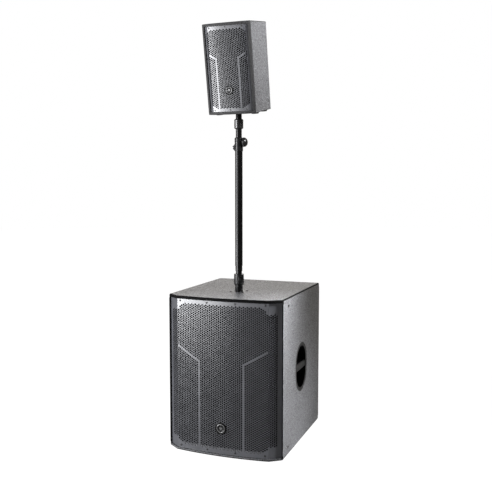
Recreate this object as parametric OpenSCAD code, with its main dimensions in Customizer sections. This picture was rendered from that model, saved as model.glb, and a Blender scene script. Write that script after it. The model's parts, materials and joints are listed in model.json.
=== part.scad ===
// Portable PA column: a powered 18 inch subwoofer, a two-section speaker pole
// and a 6.5 inch two-way satellite on top. Millimetres.
// X is to the right seen from the front, Y to the back, Z up.
// The origin is on the floor under the middle of the subwoofer.

/* [Subwoofer cabinet] */
// Width of the subwoofer cabinet
sub_w = 540; // [530:2:560]
// Height of the subwoofer cabinet without its feet
sub_h = 700; // [690:2:740]
// Distance from the middle of the cabinet to its rear edges
sub_rear = 325; // [320:1:345]
// How far the side panels' front edges lie in front of the middle
sub_shoulder = 270; // [268:1:274]
// Radius of the bowed front edge
sub_bow_r = 1406; // [1400:2:1430]
// Plywood thickness
ply = 18; // [15:1:18]
// Height of the rubber feet
foot_h = 8; // [6:1:12]

/* [Pole] */
// Diameter of the lower tube and of both sockets' spigots
pole_d = 35; // [35:0.5:35.5]
// Diameter of the upper tube
pole_upper_d = 28; // [26:1:28]
// Distance of the pole in front of the cabinet's middle
pole_forward = 96; // [85:1:100]
// Height of the lower tube's top edge above the floor
pole_joint_z = 1400; // [1380:5:1420]

/* [Satellite] */
// Width of the satellite cabinet
sat_w = 224; // [220:1:230]
// Height of the satellite cabinet
sat_h = 386; // [380:1:400]
// Forward tilt of the satellite in degrees
sat_tilt = 11; // [8:0.5:12]
// Height of the cabinet's underside on the pole's axis
sat_pivot_z = 1522; // [1520:1:1530]

/* [Hidden] */
$fn = 96;
eps = 0.5;            // overshoot of a cutting tool past the face that it cuts

// ---- colours ----
paint = [0.33, 0.33, 0.35];
grille_paint = [0.26, 0.26, 0.28];
wood = [0.72, 0.58, 0.40];
black = [0.07, 0.07, 0.07];
rubber = [0.10, 0.10, 0.10];
steel = [0.62, 0.63, 0.65];
zinc = [0.78, 0.78, 0.76];
black_zinc = [0.12, 0.12, 0.12];
foam = [0.14, 0.14, 0.15];
paper = [0.16, 0.16, 0.17];
badge_silver = [0.70, 0.70, 0.72];
copper = [0.72, 0.45, 0.25];
board_green = [0.10, 0.35, 0.18];
spider_cloth = [0.75, 0.60, 0.30];
bush_grey = [0.20, 0.20, 0.20];

// ---- subwoofer cabinet, derived ----
box_z0 = foot_h;                      // underside of the cabinet
box_z1 = foot_h + sub_h;              // top face
half_w = sub_w / 2;
in_w = half_w - ply;                  // inner face of a side panel
in_z0 = box_z0 + ply;
in_z1 = box_z1 - ply;
bow_centre_y = sub_bow_r - 325;       // the bow's apex is 325 in front of the middle
wing_slope = 38 / 52;                 // how fast the outer wings fall back, per mm of width
grille_inset = 8;                     // the top and bottom panels stand this far proud
grille_t = 2;
lip_top = 13;                         // the panels' front lips, around the grille
lip_bottom = 10;
lip_side = 4.5;
rebate = grille_inset + grille_t + 0.2;  // depth of the step behind each lip
grille_half = half_w - lip_side - 0.5;
grille_z0 = box_z0 + lip_bottom + 0.5;
grille_z1 = box_z1 - lip_top - 0.5;
grille_bow_r = sub_bow_r - grille_inset;
grille_back = 14 - sub_shoulder;      // rear edges of the grille's side returns
soft_half = in_w - 2;                 // half width of what lies behind the grille
foam_t = 5;
grille_screw_z = [grille_z0 + 12, grille_z1 - 9];
sub_screw_x = [-199, -66, 66, 199];
baffle_y = -235;                      // front face of the baffle
baffle_t = 24;
back_y = 291;                         // inner face of the recessed back panel
batten_h = 20;

woofer_z = 437;
woofer_hole_r = 212;
port_x = 165;
port_z = 116;
port_r = 55;
port_l = 180;

handle_y = 8;
handle_z = 356;
handle_w = 180;                       // outer size of the handle's flange
handle_h = 228;
handle_ring = 16;                     // width of the flange around the cup's mouth
handle_d = 74;                        // depth of the cup
handle_wall = 4;
grip_h = 34;
grip_d = 26;

insert_y = -195;
insert_z = [44, 672];
insert_r = 5;                         // M10
insert_flange_r = 9.5;
badge_z = 133;
badge_r = 26;
insert_l = 24;

pole_y = -pole_forward;
pole_r = pole_d / 2;
fit = 0.06;                           // radial clearance of a running fit
socket_z0 = 606;
socket_wall = 3;
flange_bolt = 29;                     // half the spacing of the socket's bolts

foot_xy = [[-205, -205], [205, -205], [-205, 265], [205, 265]];

// ---- amplifier, derived ----
amp_w = 300;
amp_h = 430;
amp_z = 330;
amp_t = 3;
amp_y = back_y + ply;                 // outer face of the back panel
amp_face = amp_y + amp_t;             // outer face of the amplifier's plate
window_w = amp_w - 24;
window_h = amp_h - 24;
tray_d = 88;
level_at = [-95, 372];
crossover_at = [-50, 372];
button_at = [-10, 372];
switch_at = [95, 372];
inlet_at = [95, 310];
xlr_at = [[-95, 305], [-60, 305], [-25, 305], [10, 305]];
outlet_at = [[-95, 230], [-60, 230]];
knob_shaft_r = 3;
rocker_depth = 2;                     // the rocker's pin lies this far inside the plate's face
rocker_tilt = 8;

// ---- pole, derived ----
foot_top = 827;                       // top of the foot casting, where the tube starts
upper_r = pole_upper_d / 2;
tube_wall = 2;
collar_z0 = pole_joint_z - 52;
collar_z1 = pole_joint_z + 9;
collar_r = 19.4;
knob_z = pole_joint_z - 12;
pin_z = pole_joint_z - 35;
knob_r = 21.5;
stud_r = 4;
pin_r = 3;
upper_z0 = 900;                       // lower end of the upper tube
upper_z1 = sat_pivot_z + 62;
ring_z0 = 1447;
ring_h = 45;
ring_r = 21;
bush_z0 = sat_pivot_z + 8;
bush_z1 = sat_pivot_z + 70;
socket_roof = bush_z1 + 0.04;         // the satellite's weight rests here

// ---- satellite, derived ----
sat_half = sat_w / 2;
sat_rear = 124;
sat_shoulder = 82;
sat_bow_r = 519;
sat_bow_cy = sat_bow_r - sat_shoulder - 22;
sat_wing_slope = 15 / 27.5;
sat_ply = 12;
sat_in_w = sat_half - sat_ply;
sat_grille_inset = 5;
sat_grille_t = 1.5;
sat_grille_half = sat_in_w - 1.5;
sat_grille_r = sat_bow_r - sat_grille_inset;
sat_foam_t = 4;
sat_grille_back = 7 - sat_shoulder;   // rear edges of the grille's side returns
sat_baffle_y = 19 - sat_shoulder;
sat_baffle_t = 12;
sat_back_y = sat_rear - 18;           // inner face of the back panel
sat_back_t = 10;
sat_screw_x = [-75, 0, 75];
sat_screw_drop = 6;
sat_woofer_z = 122;
sat_horn_z = 282;
sat_horn_r = 56;
sat_insert_z = [243, 343];
sat_insert_r = 4;                     // M8
sat_foot_xy = [[-85, -20], [85, -20], [-85, 93], [85, 93]];
sat_foot_r = 17;
sat_foot_h = 7;
sat_badge_z = 104;
sat_badge_r = 19.5;

// ---- placing ----
// Local +Z faces the front and local +Y is up.
module facing_front(x, y, z) {
  translate([x, y, z]) rotate([90, 0, 0]) children();
}

// Local +Z faces the back and local +Y is up.
module facing_back(x, y, z) {
  translate([x, y, z]) rotate([90, 0, 180]) children();
}

// Local +Z faces outwards from the right side (1) or the left side (-1), +Y is up.
module facing_side(side, x, y, z) {
  mirror([side < 0 ? 1 : 0, 0, 0]) translate([x, y, z]) rotate([90, 0, 90]) children();
}

// On a bowed sheet of radius r about (0, cy): +Z is the sheet's outward normal at x.
module on_bow(x, z, r, cy) {
  translate([0, cy, z]) rotate([0, 0, asin(x / r)]) translate([0, -r, 0])
    rotate([90, 0, 0]) children();
}

// From the satellite's own frame, whose origin is its underside on the pole's axis.
module in_satellite() {
  translate([0, pole_y, sat_pivot_z]) rotate([sat_tilt, 0, 0]) children();
}

// ---- shared outlines and pieces ----
// Outline of a bowed front with two wings, moved inwards by inset and cut at +-half.
module bowed_plan(r, cy, shoulder, edge, slope, inset, half, back) {
  function wing(x) = -shoulder - (edge - x) * slope + inset * sqrt(1 + slope * slope);
  intersection() {
    translate([0, cy]) circle(r = r - inset, $fn = 256);
    polygon([[-half, back], [-half, wing(half)], [0, wing(0)], [half, wing(half)], [half, back]]);
  }
}

module sub_plan(inset, half, back) {
  bowed_plan(sub_bow_r, bow_centre_y, sub_shoulder, half_w, wing_slope, inset, half, back);
}

module sat_plan(inset, half, back) {
  bowed_plan(sat_bow_r, sat_bow_cy, sat_shoulder, sat_half, sat_wing_slope, inset, half, back);
}

// Upright outline with round ends.
module stadium(w, h) {
  square([w, h - w], center = true);
  for (s = [-1, 1]) translate([0, s * (h - w) / 2]) circle(d = w);
}

module rounded_square(w, h, r) {
  square([w - 2 * r, h], center = true);
  square([w, h - 2 * r], center = true);
  for (sx = [-1, 1], sy = [-1, 1])
    translate([sx * (w / 2 - r), sy * (h / 2 - r)]) circle(r = r, $fn = 32);
}

module ring(r_out, r_in, h) {
  linear_extrude(h) difference() {
    circle(r = r_out);
    circle(r = r_in);
  }
}

// Screw whose head's underside is at z = 0, with a cross recess.
module screw(head_r, head_h, shank_r, shank_l) {
  difference() {
    union() {
      rotate_extrude($fn = 32) polygon([
        [0, 0], [head_r, 0], [head_r, head_h * 0.45], [head_r * 0.8, head_h * 0.85],
        [head_r * 0.4, head_h], [0, head_h]
      ]);
      translate([0, 0, -shank_l]) cylinder(r = shank_r, h = shank_l, $fn = 24);
    }
    for (a = [0, 90]) rotate(a) translate([-head_r * 0.55, -0.5, head_h * 0.4])
      cube([head_r * 1.1, 1, head_h]);
  }
}

module screw_holes(r, depth) {
  translate([0, 0, -depth]) cylinder(r = r, h = depth + eps, $fn = 24);
}

// ---- subwoofer cabinet ----
module sub_batten(z) {
  translate([0, 0, z]) linear_extrude(batten_h)
    sub_plan(rebate, soft_half, baffle_y - 0.1);
}

// Plan behind the lips: a step that the grille lies in, with a groove for each side return.
module stepped_plan() {
  groove = grille_t + 0.8;
  difference() {
    sub_plan(rebate, half_w, sub_rear);
    for (side = [-1, 1])
      translate([side * (grille_half + 0.5 - groove / 2) - groove / 2, grille_back + 0.5 - 100])
        square([groove, 100]);
  }
  intersection() {
    sub_plan(0, half_w, sub_rear);
    for (side = [-1, 1])
      translate([side * (half_w - lip_side / 2) - lip_side / 2, -500]) square([lip_side, 1000]);
  }
}

module grille_screw_places(z) {
  for (x = sub_screw_x) on_bow(x, z, grille_bow_r, bow_centre_y) children();
}

module sub_top_panel() {
  socket_hole_r = pole_r + fit + socket_wall + 0.15;
  color(paint) difference() {
    union() {
      translate([0, 0, box_z1 - lip_top]) linear_extrude(lip_top) sub_plan(0, half_w, sub_rear);
      translate([0, 0, in_z1]) linear_extrude(ply - lip_top) stepped_plan();
      sub_batten(in_z1 - batten_h);
    }
    translate([0, pole_y, in_z1 - eps]) cylinder(r = socket_hole_r, h = ply + 2 * eps);
    for (sx = [-1, 1], sy = [-1, 1])
      translate([sx * flange_bolt, pole_y + sy * flange_bolt, in_z1 - eps])
        cylinder(r = 3.1, h = ply + 2 * eps, $fn = 24);
    grille_screw_places(grille_screw_z[1]) screw_holes(2.5, 34);
  }
}

module sub_bottom_panel() {
  color(paint) difference() {
    union() {
      translate([0, 0, box_z0]) linear_extrude(lip_bottom) sub_plan(0, half_w, sub_rear);
      translate([0, 0, box_z0 + lip_bottom]) linear_extrude(ply - lip_bottom) stepped_plan();
      sub_batten(in_z0);
    }
    grille_screw_places(grille_screw_z[0]) screw_holes(2.5, 34);
  }
}

module sub_side_panel(side) {
  color(paint) difference() {
    translate([0, 0, in_z0]) linear_extrude(in_z1 - in_z0) intersection() {
      stepped_plan();
      translate([side > 0 ? in_w : -half_w, -500]) square([ply, 1000]);
    }
    facing_side(side, in_w - eps, handle_y, handle_z)
      linear_extrude(ply + 2 * eps) stadium(handle_w - 22.5, handle_h - 22.5);
    facing_side(side, half_w - 3.5, handle_y, handle_z)
      linear_extrude(4 + eps) stadium(handle_w + 1, handle_h + 1);
    handle_screw_places(side) screw_holes(1.8, 12);
    for (z = insert_z) facing_side(side, in_w - eps, insert_y, z) {
      cylinder(r = insert_r + 3.05, h = ply + 2 * eps);
      translate([0, 0, ply + eps - 1.3]) cylinder(r = insert_flange_r + 0.2, h = 2);
    }
  }
}

module sub_back_panel() {
  color(paint) difference() {
    translate([-in_w, back_y, in_z0]) cube([2 * in_w, ply, in_z1 - in_z0]);
    facing_back(0, back_y - eps, amp_z)
      linear_extrude(ply + 2 * eps) rounded_square(window_w, window_h, 8);
    amp_screw_places() screw_holes(1.8, 14);
  }
}

module sub_baffle() {
  color(wood) difference() {
    translate([-in_w, baffle_y, in_z0]) cube([2 * in_w, baffle_t, in_z1 - in_z0]);
    facing_front(0, baffle_y + baffle_t + eps, woofer_z)
      cylinder(r = woofer_hole_r, h = baffle_t + 2 * eps);
    for (sx = [-1, 1]) facing_front(sx * port_x, baffle_y + baffle_t + eps, port_z)
      cylinder(r = port_r + 3.3, h = baffle_t + 2 * eps);
  }
}

// Window brace between the sides, behind the handles' cups.
module sub_brace() {
  brace_y = 120;
  rail = 70;
  color(wood) difference() {
    translate([-in_w, brace_y, in_z0]) cube([2 * in_w, ply, in_z1 - in_z0]);
    for (z = [in_z0 + rail, woofer_z - 60])
      translate([-in_w + rail, brace_y - eps, z])
        cube([2 * (in_w - rail), ply + 2 * eps, z < 200 ? 214 : 240]);
  }
}

module sub_feet() {
  color(rubber) for (p = foot_xy) translate([p[0], p[1], 0]) difference() {
    union() {
      cylinder(r1 = 17, r2 = 19, h = 2, $fn = 64);
      translate([0, 0, 2]) cylinder(r = 19, h = foot_h - 2, $fn = 64);
    }
    translate([0, 0, -eps]) cylinder(r = 6, h = 4 + eps, $fn = 32);
  }
}

// ---- subwoofer grille ----
module sub_grille() {
  color(grille_paint) difference() {
    translate([0, 0, grille_z0]) linear_extrude(grille_z1 - grille_z0) difference() {
      sub_plan(grille_inset, grille_half, grille_back);
      sub_plan(grille_inset + grille_t, grille_half - grille_t, 0);
    }
    for (z = grille_screw_z) grille_screw_places(z) screw_holes(2.6, 6);
  }
}

module sub_grille_foam() {
  color(foam) translate([0, 0, in_z0 + batten_h + 0.5])
    linear_extrude(in_z1 - in_z0 - 2 * batten_h - 1) difference() {
      sub_plan(rebate, soft_half, grille_back);
      sub_plan(rebate + foam_t, half_w, 0);
    }
}

module sub_grille_screws() {
  color(black_zinc) for (z = grille_screw_z) grille_screw_places(z) screw(4.4, 2.6, 2.4, 30);
}

// Plain round badge: a raised rim around five level bars.
module level_badge(r, t) {
  ring(r, r * 0.79, t);
  cylinder(r = r * 0.79, h = t * 0.45);
  bar = r * 0.16;
  heights = [0.5, 0.85, 1.15, 0.7, 0.95];
  for (i = [0 : 4])
    translate([(i - 2) * bar * 1.45 - bar / 2, -heights[i] * r / 2, t * 0.4])
      cube([bar, heights[i] * r, t * 0.5]);
}

module sub_badge() {
  color(badge_silver) on_bow(0, badge_z, grille_bow_r, bow_centre_y) level_badge(badge_r, 4);
}

// ---- 18 inch woofer ----
module in_woofer() {
  facing_front(0, baffle_y, woofer_z) children();
}

module sub_woofer_frame() {
  color(black) in_woofer() difference() {
    rotate_extrude($fn = 128) polygon([
      [231, 0.1], [231, 7], [204, 7], [204, 0], [100, -118], [56, -118],
      [56, -124], [104, -124], [209, -3], [209, 0.1]
    ]);
    for (i = [0 : 5]) rotate(i * 60) translate([118, -40, -112]) cube([74, 80, 96]);
    for (i = [0 : 7]) rotate(i * 45 + 22.5) translate([223, 0, -1]) cylinder(r = 3.3, h = 10, $fn = 24);
  }
}

module sub_woofer_magnet() {
  color(steel) in_woofer() {
    rotate_extrude($fn = 128) polygon([
      [15, -165], [100, -165], [100, -157], [110, -157], [110, -132], [95, -132],
      [95, -124.1], [54.5, -124.1], [54.5, -132], [62, -132], [62, -157], [49, -157],
      [49, -120], [15, -120]
    ]);
  }
}

module sub_woofer_surround() {
  color(rubber) in_woofer() rotate_extrude($fn = 128) difference() {
    union() {
      translate([196, 7.1]) square([24, 1.6]);
      translate([186, 7.1]) square([4, 1.6]);
      translate([193, 7.1]) circle(r = 7.5, $fn = 48);
      translate([205, 7.1]) circle(r = 7.5, $fn = 48);
    }
    translate([193, 7.1]) circle(r = 6, $fn = 48);
    translate([205, 7.1]) circle(r = 6, $fn = 48);
    translate([180, -10]) square([60, 17.1]);
  }
}

module sub_woofer_spider() {
  color(spider_cloth) in_woofer() translate([0, 0, -100]) rotate_extrude($fn = 128) union() {
    translate([51.1, 0]) square([63.5, 1]);
    for (i = [0 : 4]) translate([60 + i * 11, 0.5]) circle(r = 2, $fn = 24);
  }
}

module sub_woofer_cone() {
  cap_r = 109;
  cap_h = -152;
  arc = [for (a = [33 : -3 : 0]) [cap_r * sin(a), cap_h + cap_r * cos(a)]];
  arc_in = [for (a = [0 : 3 : 33]) [(cap_r - 1.5) * sin(a), cap_h + (cap_r - 1.5) * cos(a)]];
  color(paper) in_woofer() rotate_extrude($fn = 128) {
    polygon([
      [190, 7], [184, 7], [54, -66], [51, -66], [51, -80], [53, -80], [55.5, -68.5], [190, 4.5]
    ]);
    polygon(concat(arc, arc_in));
  }
}

module sub_voice_coil() {
  color(copper) in_woofer() {
    translate([0, 0, -142]) ring(50.9, 50, 74);
    translate([0, 0, -140]) ring(52.4, 50.8, 24);
  }
}

module sub_port_tubes() {
  color(black) for (sx = [-1, 1]) facing_front(sx * port_x, baffle_y, port_z) {
    translate([0, 0, -port_l]) ring(port_r + 3, port_r, port_l + 3);
    translate([0, 0, 0.1]) ring(port_r + 13, port_r, 3);
  }
}

// ---- handles ----
module handle_screw_places(side) {
  edge = (handle_w - handle_ring + 4) / 2;
  end = (handle_h - handle_ring + 4) / 2;
  for (p = [[0, end], [0, -end], [edge, 30], [edge, -30], [-edge, 30], [-edge, -30]])
    facing_side(side, half_w - 2, handle_y + p[0], handle_z + p[1]) children();
}

module sub_handle(side) {
  mouth_w = handle_w - 2 * handle_ring;
  mouth_h = handle_h - 2 * handle_ring;
  color(black) difference() {
    facing_side(side, half_w - 0.5, handle_y, handle_z) {
      difference() {
        union() {
          translate([0, 0, -3]) linear_extrude(3) stadium(handle_w, handle_h);
          translate([0, 0, -handle_d - handle_wall]) linear_extrude(handle_d + handle_wall)
            stadium(mouth_w + 2 * handle_wall, mouth_h + 2 * handle_wall);
        }
        translate([0, 0, -handle_d]) linear_extrude(handle_d + eps) stadium(mouth_w, mouth_h);
      }
      // Grip bar across the cup, with rounded edges.
      translate([-mouth_w / 2 - 1, 0, -grip_d / 2 - 2]) rotate([90, 0, 90])
        linear_extrude(mouth_w + 2) rounded_square(grip_h, grip_d, 9);
    }
    handle_screw_places(side) {
      screw_holes(2, 14);
      cylinder(r = 3.7, h = 2);
    }
  }
}

module sub_rigging_inserts() {
  color(black_zinc) for (side = [-1, 1], z = insert_z)
    facing_side(side, half_w - insert_l, insert_y, z) {
      ring(insert_r + 3, insert_r, insert_l - 0.1);
      translate([0, 0, insert_l - 1.3]) ring(insert_flange_r, insert_r, 1.2);
    }
}

// ---- pole socket ----
module sub_pole_socket() {
  bore = pole_r + fit;
  color(black) translate([0, pole_y, 0]) {
    difference() {
      union() {
        translate([0, 0, socket_z0]) cylinder(r = bore + socket_wall, h = box_z1 - socket_z0);
        translate([0, 0, in_z1 - 5]) linear_extrude(4.9) rounded_square(82, 82, 8);
      }
      translate([0, 0, socket_z0 + 4]) cylinder(r = bore, h = sub_h);
      for (sx = [-1, 1], sy = [-1, 1])
        translate([sx * flange_bolt, sy * flange_bolt, in_z1 - 6]) cylinder(r = 3.1, h = 8, $fn = 24);
    }
  }
}

// Handle screws, amplifier screws and the pole socket's four bolts.
module sub_panel_screws() {
  color(black_zinc) {
    for (side = [-1, 1]) handle_screw_places(side) screw(3.4, 1.4, 1.7, 11);
    amp_screw_places() translate([0, 0, 0.05]) screw(3.4, 2, 1.7, 13);
    for (sx = [-1, 1], sy = [-1, 1])
      translate([sx * flange_bolt, pole_y + sy * flange_bolt, box_z1]) screw(6, 2.8, 3, 26);
  }
}

// ---- amplifier ----
module amp_screw_places() {
  for (sx = [-1, 1], z = [-207, -104, 0, 104, 207])
    facing_back(sx * (amp_w / 2 - 6), amp_face, amp_z + z) children();
}

module at_amp(p) {
  facing_back(p[0], amp_face, p[1]) children();
}

module amp_plate() {
  fin_n = 23;
  color(black) difference() {
    union() {
      facing_back(0, amp_y, amp_z) linear_extrude(amp_t) rounded_square(amp_w, amp_h, 8);
      for (i = [0 : fin_n - 1])
        translate([(i - (fin_n - 1) / 2) * 11 - 1.25, amp_y + 1, amp_z + 78]) cube([2.5, 14, 118]);
    }
    amp_screw_places() screw_holes(2, 6);
    for (p = concat(xlr_at, outlet_at)) at_amp(p) screw_holes(12.2, 6);
    for (p = [level_at, crossover_at]) at_amp(p) screw_holes(knob_shaft_r + fit, 6);
    at_amp(button_at) screw_holes(4.3, 6);
    at_amp(inlet_at) translate([-14.2, -11.2, -6]) cube([28.4, 22.4, 6 + eps]);
    at_amp(switch_at) translate([-11, -7.5, -6]) cube([22, 15, 6 + eps]);
  }
}

// Sealed steel tray that closes the window inside the cabinet.
module amp_tray() {
  wall = 2;
  w = window_w - 3;
  h = window_h - 3;
  color(steel) facing_back(0, amp_y - tray_d - 0.1, amp_z) difference() {
    linear_extrude(tray_d) rounded_square(w, h, 7);
    translate([0, 0, wall]) linear_extrude(tray_d) rounded_square(w - 2 * wall, h - 2 * wall, 5);
  }
}

// Power supply and output stage on one board, standing on pillars in the tray.
module amp_board() {
  color(board_green) facing_back(0, amp_y - tray_d + 2, amp_z) {
    for (sx = [-1, 1], sy = [-1, 1]) translate([sx * 110, sy * 170, 0]) cylinder(r = 4, h = 9, $fn = 24);
    translate([-120, -185, 8]) cube([240, 370, 2]);
    translate([55, -120, 9]) cylinder(r = 48, h = 36);
    for (i = [0 : 3]) translate([-80 + i * 32, -150, 9]) cylinder(r = 13, h = 34);
    translate([-100, -40, 9]) cube([110, 70, 22]);
    translate([-110, 90, 9]) cube([220, 8, 34]);
  }
}

// One chassis connector: flange, barrel, open cavity and contact holes in its floor.
module chassis_socket(cavity_r, contacts, contact_r) {
  difference() {
    union() {
      linear_extrude(1.8) rounded_square(26, 31, 3);
      translate([0, 0, -24]) cylinder(r = 12, h = 24.5);
    }
    translate([0, 0, -14]) cylinder(r = cavity_r, h = 20);
    for (i = [0 : contacts - 1]) rotate(i * 360 / contacts + 90)
      translate([cavity_r * 0.5, 0, -20]) cylinder(r = contact_r, h = 10, $fn = 24);
    for (sx = [-1, 1]) translate([sx * 9.5, sx * 12, -1]) cylinder(r = 1.6, h = 4, $fn = 24);
  }
}

module amp_signal_sockets() {
  color(steel) {
    for (p = xlr_at) at_amp(p) translate([0, 0, 0.05]) chassis_socket(9.3, 3, 1.2);
    for (p = outlet_at) at_amp(p) translate([0, 0, 0.05]) chassis_socket(10, 4, 1.8);
  }
}

module amp_power_inlet() {
  color(black) at_amp(inlet_at) translate([0, 0, 0.05]) {
    difference() {
      union() {
        linear_extrude(2) rounded_square(34, 27, 3);
        translate([-14, -11, -26]) cube([28, 22, 27]);
      }
      translate([-12, -8.2, -15]) cube([24, 16.4, 20]);
    }
    for (p = [[-7, -2], [0, 2], [7, -2]])
      translate([p[0] - 1, p[1] - 2, -16]) cube([2, 4, 11]);
  }
}

// Knob with a pointer rib, and the shaft that it turns on.
module control_knob() {
  difference() {
    union() {
      translate([0, 0, 0.6]) cylinder(r = 7.8, h = 11, $fn = 64);
      translate([0, 0, -20]) cylinder(r = knob_shaft_r, h = 22, $fn = 48);
    }
    for (i = [1 : 11]) rotate(90 + i * 30) translate([8.6, 0, 3]) cylinder(r = 1.4, h = 10, $fn = 24);
    translate([-0.6, 2, 11]) cube([1.2, 7, 2]);
  }
}

module amp_level_knob() {
  color(black) at_amp(level_at) control_knob();
}

module amp_crossover_knob() {
  color(black) at_amp(crossover_at) control_knob();
}

module amp_polarity_button() {
  color(steel) at_amp(button_at) {
    translate([0, 0, -16]) cylinder(r = 4, h = 21, $fn = 48);
    translate([0, 0, -8]) cylinder(r = 6, h = 2, $fn = 48);
  }
}

// Rocker on a pin, shown in its off position.
module amp_power_switch() {
  color(black) at_amp(switch_at) translate([0, 0, -rocker_depth]) rotate([-rocker_tilt, 0, 0])
    rotate([90, 0, 90]) translate([0, 0, -10.4]) {
      linear_extrude(20.8) polygon([[-6.6, -3], [6.6, -3], [6.6, 4.2], [0, 3], [-6.6, 4.2]]);
      translate([0, 0, -0.5]) cylinder(r = 1.5, h = 21.8, $fn = 24);
    }
}

// ---- pole ----
// Rows of [radius, height] swept round the pole's axis.
module turned(profile) {
  translate([0, pole_y, 0]) rotate_extrude($fn = 128) polygon(profile);
}

module pole_foot() {
  bottom = socket_z0 + 4.2;
  color(black) turned([
    [0, bottom], [pole_r - 2, bottom], [pole_r, bottom + 3], [pole_r, 739], [13, 739], [13, 790],
    [14.3, 790], [14.3, 802], [16.2, 803], [16.2, foot_top], [pole_r - tube_wall - 0.05, foot_top],
    [pole_r - tube_wall - 0.05, foot_top + 30], [0, foot_top + 30]
  ]);
}

module pole_foot_collar() {
  color(black) difference() {
    turned([
      [13.05, 739.1], [21.5, 739.1], [22.6, 743], [23, 764], [22.6, 786], [21.5, 789.9], [13.05, 789.9]
    ]);
    translate([0, pole_y, 0]) for (i = [0 : 23]) rotate(i * 15)
      translate([24.2, 0, 746]) cylinder(r = 1.7, h = 37, $fn = 16);
  }
}

module pole_lower_tube() {
  color(black) difference() {
    translate([0, pole_y, foot_top + 0.1]) ring(pole_r, pole_r - tube_wall, pole_joint_z - foot_top);
    facing_side(1, 5, pole_y, knob_z) cylinder(r = stud_r + 0.2, h = 20);
    facing_side(-1, 5, pole_y, pin_z) cylinder(r = pin_r + 0.2, h = 20);
  }
}

module pole_guide_bush() {
  color(bush_grey) difference() {
    translate([0, pole_y, pole_joint_z - 70])
      ring(pole_r - tube_wall - 0.05, upper_r + 0.08, 69.5);
    facing_side(1, 5, pole_y, knob_z) cylinder(r = stud_r + 0.2, h = 20);
    facing_side(-1, 5, pole_y, pin_z) cylinder(r = pin_r + 0.2, h = 20);
  }
}

module pole_clamp_collar() {
  grip = pole_r + 0.04;
  color(black) difference() {
    union() {
      turned([
        [grip, collar_z0], [collar_r - 0.6, collar_z0], [collar_r, collar_z0 + 1.5],
        [collar_r, collar_z1 - 3], [collar_r - 2, collar_z1], [upper_r + 0.4, collar_z1],
        [upper_r + 0.4, pole_joint_z + 0.4], [grip, pole_joint_z + 0.4]
      ]);
      facing_side(1, pole_r + 0.5, pole_y, knob_z) cylinder(r1 = 12, r2 = 10, h = 2.6);
      // Wedge-shaped housing of the safety pin.
      translate([0, pole_y + 8, 0]) rotate([90, 0, 0]) linear_extrude(16) polygon([
        [-pole_r - 0.6, pin_z - 15], [-pole_r - 9.5, pin_z - 4], [-pole_r - 9.5, pin_z + 4],
        [-pole_r - 0.6, pin_z + 14]
      ]);
    }
    facing_side(1, 5, pole_y, knob_z) cylinder(r = stud_r + fit, h = 30);
    facing_side(-1, 5, pole_y, pin_z) cylinder(r = pin_r + fit, h = 30);
  }
}

// Domed hand knob with grip flutes, and its stud, which stops just short of the tube.
module pole_clamp_knob() {
  start = pole_r + 3.4;
  color(black) facing_side(1, 0, pole_y, knob_z) difference() {
    union() {
      translate([0, 0, upper_r + 0.25]) cylinder(r = stud_r, h = start - upper_r);
      translate([0, 0, start]) rotate_extrude($fn = 96) polygon(concat(
        [[0, 0], [knob_r - 2, 0], [knob_r, 2]],
        [for (a = [0 : 7.5 : 90]) [knob_r * cos(a), 4 + 18 * sin(a)]]
      ));
    }
    for (i = [0 : 9]) rotate(i * 36) translate([knob_r + 3.4, 0, start - 1])
      cylinder(r = 4.6, h = 30, $fn = 48);
  }
}

module pole_safety_pin() {
  color(zinc) facing_side(-1, 0, pole_y, pin_z) {
    translate([0, 0, upper_r + 0.3]) cylinder(r = pin_r, h = pole_r + 10 - upper_r);
    translate([0, 0, pole_r + 9.8]) cylinder(r1 = 5, r2 = 4, h = 3.6, $fn = 48);
  }
}

module pole_upper_tube() {
  color(black) translate([0, pole_y, upper_z0]) {
    ring(upper_r, upper_r - 1.8, upper_z1 - upper_z0);
    ring(pole_r - tube_wall - 0.25, upper_r - 0.5, 20);
  }
}

module pole_stop_ring() {
  bore = upper_r + 0.05;
  color(black) turned([
    [bore, ring_z0], [ring_r - 4, ring_z0], [ring_r - 0.5, ring_z0 + 4], [ring_r, ring_z0 + 6],
    [ring_r, ring_z0 + ring_h - 5], [ring_r - 1.5, ring_z0 + ring_h - 1.5],
    [ring_r - 4, ring_z0 + ring_h], [bore, ring_z0 + ring_h]
  ]);
}

module pole_top_bush() {
  color(black) turned([
    [upper_r + fit, bush_z0], [pole_r - 1, bush_z0], [pole_r, bush_z0 + 2], [pole_r, bush_z1 - 3],
    [pole_r - 2, bush_z1], [0, bush_z1], [0, upper_z1 + 0.2], [upper_r + fit, upper_z1 + 0.2]
  ]);
}

// ---- satellite ----
module sat_screw_places() {
  for (x = sat_screw_x, z = [sat_ply + 1 + sat_screw_drop, sat_h - sat_ply - 1 - sat_screw_drop])
    on_bow(x, z, sat_grille_r, sat_bow_cy) children();
}

// The pole's axis, seen from inside the tilted cabinet.
module sat_pole_axis() {
  rotate([-sat_tilt, 0, 0]) children();
}

module sat_cabinet() {
  batten_plan_inset = sat_grille_inset + sat_grille_t + 0.2;
  color(paint) in_satellite() difference() {
    union() {
      difference() {
        linear_extrude(sat_h) sat_plan(0, sat_half, sat_rear);
        translate([-sat_in_w, -200, sat_ply]) cube([2 * sat_in_w, 400, sat_h - 2 * sat_ply]);
      }
      for (z = [sat_ply - 1, sat_h - 2 * sat_ply + 1]) translate([0, 0, z]) linear_extrude(sat_ply)
        sat_plan(batten_plan_inset, sat_in_w - 5, sat_baffle_y - 0.1);
    }
    sat_screw_places() screw_holes(1.8, 16);
    sat_pole_axis() translate([0, 0, -40]) cylinder(r = pole_r + fit + socket_wall + 0.2, h = 80);
  }
}

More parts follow.
